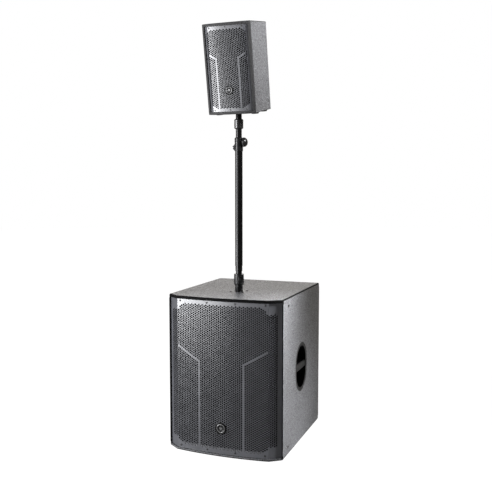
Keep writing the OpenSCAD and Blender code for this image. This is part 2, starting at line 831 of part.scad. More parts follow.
module sat_back_panel() {
  color(paint) in_satellite() difference() {
    translate([-sat_in_w + 0.1, sat_back_y, sat_ply + 0.1])
      cube([2 * sat_in_w - 0.2, sat_back_t, sat_h - 2 * sat_ply - 0.2]);
    for (x = [-20, 20]) facing_back(x, sat_back_y + sat_back_t, 90) screw_holes(12.3, sat_back_t + eps);
    for (z = sat_insert_z) facing_back(0, sat_back_y + sat_back_t, z)
      screw_holes(sat_insert_r, sat_back_t + eps, $fn = 48);
  }
}

module sat_baffle() {
  color(wood) in_satellite() difference() {
    translate([-sat_in_w + 0.1, sat_baffle_y, sat_ply + 0.1])
      cube([2 * sat_in_w - 0.2, sat_baffle_t, sat_h - 2 * sat_ply - 0.2]);
    facing_front(0, sat_baffle_y + sat_baffle_t + eps, sat_woofer_z) cylinder(r = 74, h = 20);
    facing_front(0, sat_baffle_y + sat_baffle_t + eps, sat_horn_z) cylinder(r = sat_horn_r + 3, h = 20);
  }
}

module sat_grille() {
  color(grille_paint) in_satellite() difference() {
    translate([0, 0, sat_ply + 1]) linear_extrude(sat_h - 2 * sat_ply - 2) difference() {
      sat_plan(sat_grille_inset, sat_grille_half, sat_grille_back);
      sat_plan(sat_grille_inset + sat_grille_t, sat_grille_half - sat_grille_t, 0);
    }
    sat_screw_places() screw_holes(1.9, 6);
  }
}

module sat_grille_foam() {
  back = sat_grille_inset + sat_grille_t + 0.2;
  color(foam) in_satellite() translate([0, 0, 2 * sat_ply]) linear_extrude(sat_h - 4 * sat_ply)
    difference() {
      sat_plan(back, sat_grille_half - sat_grille_t - 0.5, sat_grille_back);
      sat_plan(back + sat_foam_t, sat_half, 0);
    }
}

module sat_grille_screws() {
  color(black_zinc) in_satellite() sat_screw_places() screw(3.2, 1.8, 1.7, 14);
}

module sat_badge() {
  color(badge_silver) in_satellite() on_bow(0, sat_badge_z, sat_grille_r, sat_bow_cy)
    level_badge(sat_badge_r, 3);
}

module in_sat_woofer() {
  in_satellite() facing_front(0, sat_baffle_y, sat_woofer_z) children();
}

module sat_woofer_frame() {
  color(black) in_sat_woofer() difference() {
    rotate_extrude() polygon([
      [84, 0.1], [84, 4], [70, 4], [70, 0], [41, -42], [20, -42], [20, -45], [43, -45],
      [73, -2], [73, 0.1]
    ]);
    for (i = [0 : 5]) rotate(i * 60) translate([44, -13, -40]) cube([24, 26, 36]);
  }
}

module sat_woofer_magnet() {
  color(steel) in_sat_woofer() rotate_extrude() polygon([
    [0, -68], [36, -68], [36, -63], [40, -63], [40, -50], [36, -50], [36, -45.1],
    [15, -45.1], [15, -50], [20, -50], [20, -63], [11, -63], [11, -43], [0, -43]
  ]);
}

module sat_woofer_surround() {
  color(rubber) in_sat_woofer() rotate_extrude() difference() {
    union() {
      translate([71, 4.1]) square([8, 1]);
      translate([68, 4.1]) circle(r = 5, $fn = 48);
    }
    translate([68, 4.1]) circle(r = 4, $fn = 48);
    translate([55, -10]) square([30, 14.1]);
  }
}

// Cone, dust cap and the voice coil on its neck.
module sat_woofer_cone() {
  color(paper) in_sat_woofer() rotate_extrude() {
    polygon([
      [63, 2.2], [63, 3.4], [60, 3.4], [13.2, -21], [12, -21], [12, -48], [13.2, -48],
      [13.2, -24.5], [61, 2.2]
    ]);
    polygon([[0, -12], [10, -13.3], [20.5, -17], [20.5, -18.5], [10, -14.5], [0, -13.2]]);
  }
}

module sat_horn() {
  depth = 62;
  n = 10;
  throat = 12.5;
  function flare(t) = throat * pow((sat_horn_r - 2) / throat, t);
  inner = [for (i = [0 : n]) [flare(i / n), -depth + (depth + 3) * i / n]];
  outer = [for (i = [n : -1 : 0]) [flare(i / n) + 2.2, -depth + (depth - 2) * i / n]];
  color(black) in_satellite() facing_front(0, sat_baffle_y, sat_horn_z) {
    rotate_extrude() polygon(concat(inner, outer));
    difference() {
      translate([0, 0, 0.1]) linear_extrude(3) rounded_square(176, 132, 10);
      translate([0, 0, -1]) cylinder(r = sat_horn_r - 1, h = 6);
    }
  }
}

module sat_compression_driver() {
  color(steel) in_satellite() facing_front(0, sat_baffle_y, sat_horn_z) rotate_extrude() polygon([
    [12.5, -62.1], [26, -62.1], [26, -68], [38, -68], [38, -88], [33, -88], [33, -100],
    [24, -106], [0, -106], [0, -78], [12.5, -78]
  ]);
}

module sat_crossover_board() {
  color(board_green) in_satellite() facing_front(0, sat_back_y, 178) {
    for (sx = [-1, 1], sy = [-1, 1]) translate([sx * 50, sy * 28, 0.1]) cylinder(r = 3, h = 6, $fn = 24);
    translate([-58, -36, 5]) cube([116, 72, 2]);
    translate([-30, 0, 6]) cylinder(r = 18, h = 16);
    translate([25, -8, 6]) cylinder(r = 14, h = 14);
    translate([-50, -30, 6]) cube([40, 10, 10]);
    translate([10, 14, 6]) cube([36, 14, 12]);
  }
}

// Upright socket in the tilted underside, with its fixing plate on the cabinet's floor.
module sat_pole_socket() {
  bore = pole_r + fit;
  color(black) in_satellite() difference() {
    union() {
      intersection() {
        sat_pole_axis() translate([0, 0, -20])
          cylinder(r = bore + socket_wall, h = socket_roof - sat_pivot_z + 24);
        translate([-100, -100, 0]) cube([200, 200, 200]);
      }
      translate([0, 0, sat_ply + 0.1]) linear_extrude(4) rounded_square(74, 74, 8);
    }
    sat_pole_axis() translate([0, 0, -40]) cylinder(r = bore, h = socket_roof - sat_pivot_z + 40);
  }
}

module sat_input_plate() {
  color(black) in_satellite() for (x = [-20, 20])
    facing_back(x, sat_back_y + sat_back_t + 0.05, 90) chassis_socket(10, 4, 1.8);
}

module sat_feet() {
  color(rubber) in_satellite() for (p = sat_foot_xy)
    translate([p[0], p[1], -sat_foot_h]) {
      cylinder(r1 = sat_foot_r - 2, r2 = sat_foot_r, h = 2, $fn = 64);
      translate([0, 0, 2]) cylinder(r = sat_foot_r, h = sat_foot_h - 2, $fn = 64);
    }
}

sub_top_panel();
sub_bottom_panel();
sub_side_panel(-1);  // sub_left_side
sub_side_panel(1);  // sub_right_side
sub_back_panel();
sub_baffle();
sub_brace();
sub_grille();
sub_grille_foam();
sub_grille_screws();
sub_badge();
sub_woofer_frame();
sub_woofer_magnet();
sub_woofer_surround();
sub_woofer_spider();
sub_woofer_cone();
sub_voice_coil();
sub_port_tubes();
sub_handle(-1);  // sub_left_handle
sub_handle(1);  // sub_right_handle
sub_panel_screws();
sub_feet();
sub_pole_socket();
sub_rigging_inserts();
amp_plate();
amp_tray();
amp_board();
amp_signal_sockets();
amp_power_inlet();
amp_level_knob();
amp_crossover_knob();
amp_polarity_button();
amp_power_switch();
pole_foot();
pole_foot_collar();
pole_lower_tube();
pole_clamp_collar();
pole_clamp_knob();
pole_safety_pin();
pole_guide_bush();
pole_upper_tube();
pole_stop_ring();
pole_top_bush();
sat_cabinet();
sat_back_panel();
sat_baffle();
sat_grille();
sat_grille_foam();
sat_grille_screws();
sat_badge();
sat_woofer_frame();
sat_woofer_magnet();
sat_woofer_surround();
sat_woofer_cone();
sat_horn();
sat_compression_driver();
sat_crossover_board();
sat_pole_socket();
sat_input_plate();
sat_feet();
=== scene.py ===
"""Looks of the column PA: perforated grilles, rounded panels, badges, materials, light and camera."""

import json
import math

import bmesh
import bpy
from mathutils import Matrix, Vector

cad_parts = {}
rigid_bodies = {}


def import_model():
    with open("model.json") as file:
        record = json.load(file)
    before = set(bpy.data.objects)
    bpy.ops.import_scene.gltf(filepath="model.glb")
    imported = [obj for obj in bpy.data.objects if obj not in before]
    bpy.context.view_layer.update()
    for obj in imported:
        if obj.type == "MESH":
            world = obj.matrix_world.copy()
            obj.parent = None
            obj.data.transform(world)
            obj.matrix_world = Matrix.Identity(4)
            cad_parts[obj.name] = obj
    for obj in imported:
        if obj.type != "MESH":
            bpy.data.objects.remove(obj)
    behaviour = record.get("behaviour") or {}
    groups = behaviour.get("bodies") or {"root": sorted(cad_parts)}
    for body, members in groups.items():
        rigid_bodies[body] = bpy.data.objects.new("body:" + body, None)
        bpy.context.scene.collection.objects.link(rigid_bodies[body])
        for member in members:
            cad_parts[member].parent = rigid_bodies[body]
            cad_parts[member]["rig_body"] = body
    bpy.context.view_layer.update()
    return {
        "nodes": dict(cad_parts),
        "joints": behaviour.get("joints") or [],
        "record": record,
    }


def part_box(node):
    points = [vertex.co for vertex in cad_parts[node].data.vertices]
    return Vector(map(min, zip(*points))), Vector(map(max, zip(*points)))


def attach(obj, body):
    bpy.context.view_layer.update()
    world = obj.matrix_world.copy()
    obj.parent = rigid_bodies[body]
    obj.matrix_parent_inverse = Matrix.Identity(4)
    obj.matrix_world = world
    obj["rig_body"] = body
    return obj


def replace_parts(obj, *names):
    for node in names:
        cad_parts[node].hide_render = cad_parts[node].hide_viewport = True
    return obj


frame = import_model()
MM = 0.001

# ---------------------------------------------------------------- sizes, in metres
SUB_BOW_R = 1406 * MM
SUB_BOW_FRONT = 325 * MM  # apex of the bow, in front of the middle
SUB_SHOULDER = 270 * MM  # front corner of a side panel, in front of the middle
SUB_HALF = 270 * MM
SUB_WING = 38 / 52  # how fast a wing falls back, per metre of width
SAT_BOW_R = 519 * MM
SAT_SHOULDER = 82 * MM
SAT_BOW_FRONT = 104 * MM
SAT_HALF = 112 * MM
SAT_WING = 15 / 27.5
SAT_REAR = 124 * MM
SAT_HEIGHT = 386 * MM
SAT_LIP = 13 * MM  # height of the frame below and above the satellite's grille
SAT_GRILLE_HALF = 98.5 * MM
SAT_GRILLE_RETURN = 7 * MM  # how far the sheet's ends run back past the shoulders
SAT_BADGE_UP = 104 * MM  # badge's centre above the satellite's underside
TOP_EDGE = 7.5 * MM  # rounding of the outer edges
SIDE_EDGE = 3.8 * MM
SAT_EDGE = 3.5 * MM
EDGE_STEPS = 4  # segments of a panel's rounding
BOW_TURNS = 24  # straight stretches in half a bow
HOLE_SIDES = 12
AMP_FACE = 312 * MM  # outer face of the amplifier's plate, between its fins
TOUCH = 0.1 * MM  # points closer than this to a plane lie on it
BOW_SLACK = 0.3 * MM  # the same for a bow, which is made of straight stretches


def joint(name):
    return next(j for j in frame["joints"] if j["name"] == name)


swivel = Vector(joint("satellite_swivel")["pos_m"])
sat_front = Vector(joint("mid_woofer_excursion")["axis"])
sat_tilt = math.atan2(-sat_front.z, -sat_front.y)
IN_SATELLITE = Matrix.Translation(swivel) @ Matrix.Rotation(sat_tilt, 4, "X")


# ---------------------------------------------------------------- materials
class Surface:
    """A procedural material: a principled shader and the nodes that feed it."""

    def __init__(self, name, roughness=0.5, metallic=0.0, specular=0.5):
        self.material = bpy.data.materials.new(name)
        self.material.use_nodes = True
        self.tree = self.material.node_tree
        self.shader = self.tree.nodes["Principled BSDF"]
        self.shader.inputs["Roughness"].default_value = roughness
        self.shader.inputs["Metallic"].default_value = metallic
        self.shader.inputs["Specular IOR Level"].default_value = specular
        self.coords = self.tree.nodes.new("ShaderNodeTexCoord").outputs["Object"]
        self.normal = None

    def node(self, kind, **inputs):
        made = self.tree.nodes.new(kind)
        for key, value in inputs.items():
            self.feed(made.inputs[key.replace("_", " ")], value)
        return made

    def feed(self, socket, value):
        if isinstance(value, bpy.types.NodeSocket):
            self.tree.links.new(value, socket)
        else:
            socket.default_value = value

    def stretched(self, x, y, z):
        """Coordinates scaled by a factor along each axis, for grain that runs one way."""
        made = self.node("ShaderNodeMapping", Vector=self.coords)
        made.inputs["Scale"].default_value = (x, y, z)
        return made.outputs["Vector"]

    def noise(self, size, detail=3.0, vector=None):
        """Noise with features of about that size."""
        made = self.node("ShaderNodeTexNoise", Vector=vector or self.coords, Scale=1 / size)
        made.inputs["Detail"].default_value = detail
        return made.outputs["Fac"]

    def cells(self, size, randomness=1.0):
        """Distance to the nearest of cells of about that size."""
        made = self.node("ShaderNodeTexVoronoi", Vector=self.coords, Scale=1 / size)
        made.inputs["Randomness"].default_value = randomness
        return made.outputs["Distance"]

    def ramp(self, value, low, high, start=0.3, end=0.7):
        """Colour between low and high as value goes from start to end."""
        made = self.node("ShaderNodeValToRGB", Fac=value)
        made.color_ramp.elements[0].position = start
        made.color_ramp.elements[1].position = end
        made.color_ramp.elements[0].color = (*low, 1)
        made.color_ramp.elements[1].color = (*high, 1)
        return made.outputs["Color"]

    def span(self, value, low, high, start=0.3, end=0.7):
        """Number between low and high as value goes from start to end."""
        made = self.node("ShaderNodeMapRange", Value=value)
        made.inputs["From Min"].default_value = start
        made.inputs["From Max"].default_value = end
        made.inputs["To Min"].default_value = low
        made.inputs["To Max"].default_value = high
        return made.outputs["Result"]

    def mixed(self, factor, first, second):
        made = self.tree.nodes.new("ShaderNodeMix")
        made.data_type = "RGBA"
        self.feed(made.inputs["Factor"], factor)
        first_colour, second_colour = (socket for socket in made.inputs if socket.type == "RGBA")
        self.feed(first_colour, first)
        self.feed(second_colour, second)
        return next(socket for socket in made.outputs if socket.type == "RGBA")

    def colour(self, value):
        self.feed(self.shader.inputs["Base Color"], value)

    def rough(self, value):
        self.feed(self.shader.inputs["Roughness"], value)

    def bump(self, height, depth, strength=1.0):
        """Adds relief of that depth on top of any relief before it."""
        made = self.node("ShaderNodeBump", Height=height, Strength=strength, Distance=depth)
        if self.normal is not None:
            self.feed(made.inputs["Normal"], self.normal)
        self.normal = made.outputs["Normal"]
        self.feed(self.shader.inputs["Normal"], self.normal)


def grey(value, tint=0.0):
    """A grey with a little blue (positive tint) or yellow (negative tint)."""
    return (value * (1 - tint * 0.5), value * (1 - tint * 0.3), value * (1 + tint * 0.5))


def plain_finish(name, low, high, size, rough_low, rough_high, depth, specular=0.5, metallic=0.0):
    """Colour and roughness vary over one noise, relief over a finer one."""
    s = Surface(name, metallic=metallic, specular=specular)
    broad = s.noise(size * 12, 4)
    s.colour(s.ramp(broad, low, high))
    s.rough(s.span(broad, rough_low, rough_high))
    s.bump(s.noise(size, 4), depth)
    return s.material


def cabinet_paint():
    """Sprayed polyurea: hard grains a few millimetres apart over a fine pebble."""
    s = Surface("cabinet_paint", specular=0.45)
    grains = s.noise(4.2 * MM, 2)
    pebble = s.cells(2.4 * MM)
    broad = s.noise(90 * MM, 3)
    speckle = s.ramp(grains, grey(0.012, 0.06), grey(0.17, 0.06), 0.36, 0.66)
    clouds = s.ramp(broad, grey(0.05, 0.06), grey(0.08, 0.06))
    s.colour(s.mixed(0.8, clouds, speckle))
    s.rough(s.span(grains, 0.62, 0.42))
    s.bump(pebble, 0.5 * MM, 0.6)
    s.bump(grains, 1.8 * MM, 0.8)
    return s.material


def painted_shade_edge_coat(name, value, specular):
    """The cabinet paint made near black on rounded edges and lips, as painted shade for the dark lines along
    them.
    """
    s = Surface(name, specular=specular)
    grains = s.noise(3.5 * MM, 2)
    s.colour(s.ramp(grains, grey(value * 0.6), grey(value * 1.5)))
    s.rough(s.span(grains, 0.75, 0.6))
    s.bump(grains, 0.3 * MM, 0.4)
    return s.material


def grille_coat():
    """Satin powder coat on steel sheet, with a faint orange peel."""
    s = Surface("grille_coat", specular=0.8)
    peel = s.noise(2.2 * MM, 3)
    broad = s.noise(60 * MM, 4)
    s.colour(s.ramp(broad, grey(0.060, 0.12), grey(0.074, 0.12)))
    s.rough(s.span(broad, 0.29, 0.34))
    s.bump(peel, 0.04 * MM, 0.4)
    return s.material


def acoustic_foam():
    s = Surface("acoustic_foam", specular=0.1)
    pores = s.cells(1.6 * MM)
    s.colour(s.ramp(pores, grey(0.001), grey(0.006), 0.1, 0.6))
    s.rough(s.span(pores, 0.85, 1.0))
    s.bump(pores, 0.8 * MM, 0.8)
    return s.material


def bare_plywood():
    s = Surface("bare_plywood", specular=0.3)
    grain = s.noise(9 * MM, 6, s.stretched(1, 1, 0.08))
    s.colour(s.ramp(grain, (0.30, 0.19, 0.10), (0.58, 0.42, 0.26)))
    s.rough(s.span(grain, 0.55, 0.75))
    s.bump(grain, 0.2 * MM, 0.5)
    return s.material


def pole_coat():
    """Black semi-gloss powder coat on the tubes, with fine scuffs along them."""
    s = Surface("pole_coat", specular=0.2)
    scuffs = s.noise(3 * MM, 5, s.stretched(1, 1, 0.05))
    broad = s.noise(40 * MM, 3)
    s.colour(s.ramp(broad, grey(0.002), grey(0.004)))
    s.rough(s.span(scuffs, 0.2, 0.24))
    s.bump(s.noise(30 * MM, 2), 0.01 * MM, 0.2)
    return s.material


def moulded_plastic(name, value, rough, specular):
    """Black moulded plastic with a spark-eroded grain."""
    s = Surface(name, specular=specular)
    grain = s.cells(0.9 * MM)
    broad = s.noise(30 * MM, 3)
    s.colour(s.ramp(broad, grey(value * 0.75), grey(value * 1.35)))
    s.rough(s.span(broad, rough - 0.06, rough + 0.08))
    s.bump(grain, 0.08 * MM, 0.6)
    return s.material


def brushed(name, low, high, rough=0.3, along=(0.06, 1, 1)):
    """Brushed metal: fine lines along one axis."""
    s = Surface(name, metallic=1.0)
    lines = s.noise(0.8 * MM, 4, s.stretched(*along))
    s.colour(s.ramp(lines, low, high))
    s.rough(s.span(lines, rough, rough + 0.12))
    s.bump(lines, 0.02 * MM, 0.5)
    return s.material


def circuit_board():
    s = Surface("circuit_board", roughness=0.35)
    tracks = s.cells(6 * MM, 0.2)
    s.colour(s.ramp(tracks, (0.01, 0.09, 0.03), (0.03, 0.19, 0.07), 0.25, 0.35))
    s.rough(s.span(tracks, 0.3, 0.5))
    s.bump(tracks, 0.1 * MM, 0.6)
    return s.material


def coil_wire():
    """Turns of enamelled wire, 0.4 mm apart."""
    s = Surface("coil_wire", roughness=0.3, metallic=1.0)
    turns = s.noise(0.4 * MM, 1, s.stretched(0.02, 1, 0.02))
    s.colour(s.ramp(turns, (0.42, 0.17, 0.07), (0.72, 0.38, 0.18)))
    s.bump(turns, 0.1 * MM, 0.7)
    return s.material


FINISHES = {
    "cabinet_paint": cabinet_paint(),
    "bare_plywood": bare_plywood(),
    "grille_steel": grille_coat(),
    "acoustic_foam": acoustic_foam(),
    "zinc_screws": brushed("zinc_plate", grey(0.42), grey(0.60), 0.32),
    "black_screws": plain_finish(
        "black_zinc", grey(0.012), grey(0.03), 0.8 * MM, 0.3, 0.45, 0.03 * MM, specular=0.6
    ),
    "badge_metal": brushed("badge_metal", grey(0.15), grey(0.21), 0.42, (1, 1, 0.05)),
    "cast_frame": plain_finish("cast_frame", grey(0.012), grey(0.03), 1.5 * MM, 0.4, 0.55, 0.12 * MM),
    "magnet_steel": plain_finish(
        "magnet_steel", grey(0.06), grey(0.11), 1.2 * MM, 0.4, 0.6, 0.08 * MM, metallic=0.6
    ),
    "surround_cloth": plain_finish(
        "surround_cloth", grey(0.008), grey(0.02), 0.7 * MM, 0.55, 0.75, 0.15 * MM
    ),
    "cone_paper": plain_finish(
        "cone_paper", grey(0.018), grey(0.045), 2.5 * MM, 0.7, 0.9, 0.25 * MM, specular=0.3
    ),
    "coil_wire": coil_wire(),
    "black_plastic": moulded_plastic("moulded_plastic", 0.005, 0.5, 0.12),
    "foot_rubber": plain_finish(
        "foot_rubber", grey(0.006), grey(0.014), 1.0 * MM, 0.65, 0.85, 0.1 * MM, specular=0.35
    ),
    "pole_paint": pole_coat(),
    "amp_aluminium": plain_finish(
        "anodised", grey(0.012), grey(0.024), 0.5 * MM, 0.34, 0.46, 0.03 * MM, specular=0.6, metallic=0.3
    ),
    "tray_steel": brushed("tray_steel", grey(0.42), grey(0.56), 0.35),
    "circuit_board": circuit_board(),
    "nickel_sockets": brushed("satin_nickel", (0.50, 0.48, 0.44), (0.66, 0.64, 0.59), 0.25, (1, 0.06, 1)),
}
# Near-black and dark grey: painted shade on the subwoofer's and the satellite's rounded edges and front lips.
PAINTED_SHADE_EDGES = painted_shade_edge_coat("painted_shade_edge_coat", 0.0025, 0.04)
SAT_PAINTED_SHADE_EDGES = painted_shade_edge_coat("satellite_painted_shade_edge_coat", 0.02, 0.3)
GLOSSY_PLASTIC = moulded_plastic("glossy_plastic", 0.008, 0.27, 0.6)
SATIN_PLASTIC = moulded_plastic("satin_plastic", 0.004, 0.32, 0.25)
slot_of = {part["node"]: part["material_slot"] for part in frame["record"]["subparts"]}


def wear(piece, slot_name, *more):
    """Gives a piece the finish of a material slot, and more materials after it."""
    for finish in (FINISHES[slot_name], *more):
        piece.data.materials.append(finish)
    return piece


for node_name, node_piece in frame["nodes"].items():
    node_piece.data.materials.clear()
    wear(node_piece, slot_of[node_name])


# ---------------------------------------------------------------- mesh helpers
def new_piece(name, bm, slot_name, body, *more, sharp_above=35):
    """Makes the object of a finished bmesh, smooth except across sharp edges."""
    for face in bm.faces:
        face.smooth = True
    for edge in bm.edges:
        edge.smooth = len(edge.link_faces) == 2 and edge.calc_face_angle(0) < math.radians(sharp_above)
    mesh = bpy.data.meshes.new(name)
    bm.to_mesh(mesh)
    bm.free()
    piece = bpy.data.objects.new(name, mesh)
    bpy.context.scene.collection.objects.link(piece)
    normals = piece.modifiers.new("even_faces", "WEIGHTED_NORMAL")
    normals.keep_sharp = True
    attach(piece, body)
    return wear(piece, slot_name, *more)


def body_of(node):
    return frame["nodes"][node]["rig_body"]


def is_corner(edge, least_angle=28):
    return len(edge.link_faces) == 2 and edge.calc_face_angle(0) > math.radians(least_angle)


def rounded_copy(node, width, wanted=None, segments=3, painted_shade_finish=None, painted_shade_side=None):
    """A copy of a CAD node with its chosen sharp edges rounded, shown in its place.

    The painted shade finish, when given, covers the roundings and the faces that look along
    painted_shade_side: a near-black colour that stands in for shade.
    """
    bm = bmesh.new()
    bm.from_mesh(frame["nodes"][node].data)
    bmesh.ops.remove_doubles(bm, verts=bm.verts, dist=1e-6)
    bmesh.ops.dissolve_limit(bm, angle_limit=math.radians(0.3), verts=bm.verts, edges=bm.edges)
    bmesh.ops.bevel(
        bm,
        geom=[e for e in bm.edges if is_corner(e) and (wanted is None or wanted(e))],
        offset=width,
        segments=segments,
        profile=0.5,
        affect="EDGES",
        clamp_overlap=True,
        material=1 if painted_shade_finish else -1,
    )
    # Faces that look along painted_shade_side get the near-black painted shade as well.
    for face in bm.faces:
        if painted_shade_side and face.normal.dot(painted_shade_side) > 0.6:
            face.material_index = 1
    more = [painted_shade_finish] if painted_shade_finish else []
    piece = new_piece(node + "_rounded", bm, slot_of[node], body_of(node), *more)
    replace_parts(piece, node)
    return piece


# ---------------------------------------------------------------- perforated grilles
def circle_meets_wing(radius, centre_y, wing_at):
    """Width at which the bow reaches the wing's plane."""
    low, high = 0.0, radius
    for _ in range(60):
        middle = (low + high) / 2
        on_bow = centre_y - math.sqrt(radius * radius - middle * middle)
        low, high = (middle, high) if on_bow > wing_at(middle) else (low, middle)
    return low


def rounded_corner(before, corner, after, radius, steps=5):
    """Points of a round bend that replaces the corner between two straight stretches."""
    u = (before - corner).normalized()
    v = (after - corner).normalized()
    half = math.acos(max(-1, min(1, u.dot(v)))) / 2
    reach = radius / math.tan(half)
    centre = corner + (u + v).normalized() * (radius / math.sin(half))
    first = corner + u * reach - centre
    last = corner + v * reach - centre
    return [centre + first.slerp(last, k / steps) * radius for k in range(steps + 1)]


def grille_profile(bow_r, bow_front, shoulder, half_box, slope, inset, half, back, bend_r, hem_r):
    """Right half of the sheet's outer line seen from above, from the middle to the end of its return."""
    radius = bow_r - inset
    centre_y = bow_r - bow_front
    lift = inset * math.sqrt(1 + slope * slope)

    def wing(x):
        return -shoulder - (half_box - x) * slope + lift

    bend_x = circle_meets_wing(radius, centre_y, wing)
    step = math.asin(bend_x / radius) / BOW_TURNS
    bow = [
        Vector((radius * math.sin(k * step), centre_y - radius * math.cos(k * step)))
        for k in range(BOW_TURNS + 1)
    ]
    edge = Vector((half, wing(half)))
    bend = rounded_corner(bow[-2], bow[-1], edge, bend_r)
    hem = rounded_corner(bow[-1], edge, Vector((half, back)), hem_r)
    return bow[:-1] + bend + hem + [Vector((half, back))]


def distances_along(profile):
    """Distance of each point of the profile from its start."""
    lengths = [0.0]
    for a, b in zip(profile, profile[1:]):
        lengths.append(lengths[-1] + (b - a).length)
    return lengths


def perforated_grille(
    name, node, profile, z0, z1, pitch, hole_r, thick, first_hole, field_half, chamfer, line, placed
):
    """A bent sheet with staggered round holes, whose pattern leaves out one bent line on each side.

    Each hole sits in a six-sided tile of the flat sheet, which is then bent along the profile.
    chamfer is where the field's corners are cut: from, to, and by how much.
    line is the column it runs up, the height of its bend, and the columns its slope crosses.
    """
    lengths = distances_along(profile)
    half_length = lengths[-1]
    column = pitch * math.sqrt(3) / 2
    corner_r = pitch / math.sqrt(3)
    turn = math.tau / HOLE_SIDES
    outer = [(corner_r if k % 2 == 0 else pitch / 2, k * turn) for k in range(HOLE_SIDES)]
    cut_from, cut_to, cut_by = chamfer
    line_column, line_top, line_columns = line
    lattice_z = z0 + first_hole + (line_column % 2) * pitch / 2
    line_top = lattice_z + round((line_top - lattice_z) / pitch) * pitch
    bm = bmesh.new()
    known = {}

    def vertex(s, z):
        s = max(-half_length, min(half_length, s))
        z = max(z0, min(z1, z))
        key = (round(s * 1e6), round(z * 1e6))
        if key not in known:
            known[key] = bm.verts.new((s, 0, z))
        return known[key]

    def face(points):
        unique = [p for k, p in enumerate(points) if p is not points[k - 1]]
        if len(set(unique)) > 2 and len(set(unique)) == len(unique):
            bm.faces.new(unique)

    def has_hole(i, z):
        s = abs(i) * column
        near = pitch * 0.3
        margin = first_hole + max(0.0, min(1.0, (s - cut_from) / (cut_to - cut_from))) * cut_by - near
        if s > field_half or not z0 + margin <= z <= z1 - margin:
            return False
        step = abs(i) - line_column
        if step == 0:
            return z >= line_top + pitch * 0.4
        return not (0 < step <= line_columns and abs(z - line_top - step * pitch / 2) < near)

    columns = math.ceil(half_length / column) + 1
    rows = math.ceil((z1 - z0) / pitch) + 2
    for i in range(-columns, columns + 1):
        for j in range(-2, rows):
            s = i * column
            z = z0 + first_hole + (j + (i % 2) / 2) * pitch
            rim = [vertex(s + r * math.cos(a), z + r * math.sin(a)) for r, a in outer]
            if has_hole(i, z):
                hole = [vertex(s + hole_r * math.cos(a), z + hole_r * math.sin(a)) for _, a in outer]
                for k in range(HOLE_SIDES):
                    face([rim[k - 1], rim[k], hole[k], hole[k - 1]])
            else:
                face(rim)

    for distance in lengths[BOW_TURNS:-1]:
        for side in (-1, 1):
            bmesh.ops.bisect_plane(
                bm,
                geom=bm.verts[:] + bm.edges[:] + bm.faces[:],
                dist=1e-6,
                plane_co=(side * distance, 0, 0),
                plane_no=(1, 0, 0),
            )
    for v in bm.verts:
        s = abs(v.co.x)
        k = 1
        while k < len(lengths) - 1 and lengths[k] < s:
            k += 1
        t = (s - lengths[k - 1]) / (lengths[k] - lengths[k - 1])
        point = profile[k - 1].lerp(profile[k], min(1.0, t))
        v.co = (math.copysign(point.x, v.co.x), point.y, v.co.z)
    bmesh.ops.recalc_face_normals(bm, faces=bm.faces)
    middle = min(bm.faces, key=lambda f: f.calc_center_median().xz.length)
    if middle.normal.y > 0:
        bmesh.ops.reverse_faces(bm, faces=bm.faces)
    bmesh.ops.solidify(bm, geom=bm.faces[:], thickness=thick)
    bm.transform(placed)
    piece = new_piece(name, bm, slot_of[node], body_of(node))
    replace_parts(piece, node)


def make_sub_grille():
    low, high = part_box("sub_grille")
    profile = grille_profile(
        SUB_BOW_R,
        SUB_BOW_FRONT,
        SUB_SHOULDER,
        SUB_HALF,
        SUB_WING,
        inset=8 * MM,
        half=high.x,
        back=high.y,
        bend_r=7 * MM,
        hem_r=2.6 * MM,
    )
    perforated_grille(
        "sub_grille_perforated",
        "sub_grille",
        profile,
        low.z,
        high.z,
        pitch=10.05 * MM,
        hole_r=4.3 * MM,
        thick=2 * MM,
        first_hole=21.6 * MM,
        field_half=256 * MM,
        chamfer=(186 * MM, 216 * MM, 30 * MM),
        line=(12, 421 * MM, 12),
        placed=Matrix.Identity(4),
    )


def make_sat_grille():
    profile = grille_profile(
        SAT_BOW_R,
        SAT_BOW_FRONT,
        SAT_SHOULDER,
        SAT_HALF,
        SAT_WING,
        inset=5 * MM,
        half=SAT_GRILLE_HALF,
        back=SAT_GRILLE_RETURN - SAT_SHOULDER,
        bend_r=5 * MM,
        hem_r=2 * MM,
    )
    perforated_grille(
        "sat_grille_perforated",
        "sat_grille",
        profile,
        SAT_LIP,
        SAT_HEIGHT - SAT_LIP,
        pitch=8.5 * MM,
        hole_r=3.7 * MM,
        thick=1.5 * MM,
        first_hole=16 * MM,
        field_half=89 * MM,
        chamfer=(68 * MM, 84 * MM, 12 * MM),
        line=(7, 240 * MM, 4),
        placed=IN_SATELLITE,
    )


make_sub_grille()
make_sat_grille()


# ---------------------------------------------------------------- rounded cabinet panels
def front_of(x, bow_r, bow_front, shoulder, half, slope):
    """Where the front of a cabinet's plan lies at that distance from the middle."""
    bow = bow_r - bow_front - math.sqrt(bow_r**2 - x * x)
    wing = -shoulder - (half - x) * slope
    return max(bow, wing) + BOW_SLACK


def upright(a, b):
    return abs(a.z - b.z) > 0.9 * (a - b).length


def at_level(points, levels):
    return any(all(abs(p.z - z) < TOUCH for p in points) for z in levels)


def sub_edge(*levels):
    """Picks outline edges of the subwoofer that are upright corners or lie at one of the levels."""
    back_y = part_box("sub_top_panel")[1].y

    def at_side(p):
        return abs(p.x) > SUB_HALF - TOUCH

    def outside(p):
        front = front_of(abs(p.x), SUB_BOW_R, SUB_BOW_FRONT, SUB_SHOULDER, SUB_HALF, SUB_WING)
        return at_side(p) or p.y > back_y - TOUCH or p.y < front + TOUCH

    def wanted(edge):
        ends = [v.co for v in edge.verts]
        corner = upright(*ends) and all(at_side(p) for p in ends)
        return all(outside(p) for p in ends) and (corner or at_level(ends, levels))

    return wanted


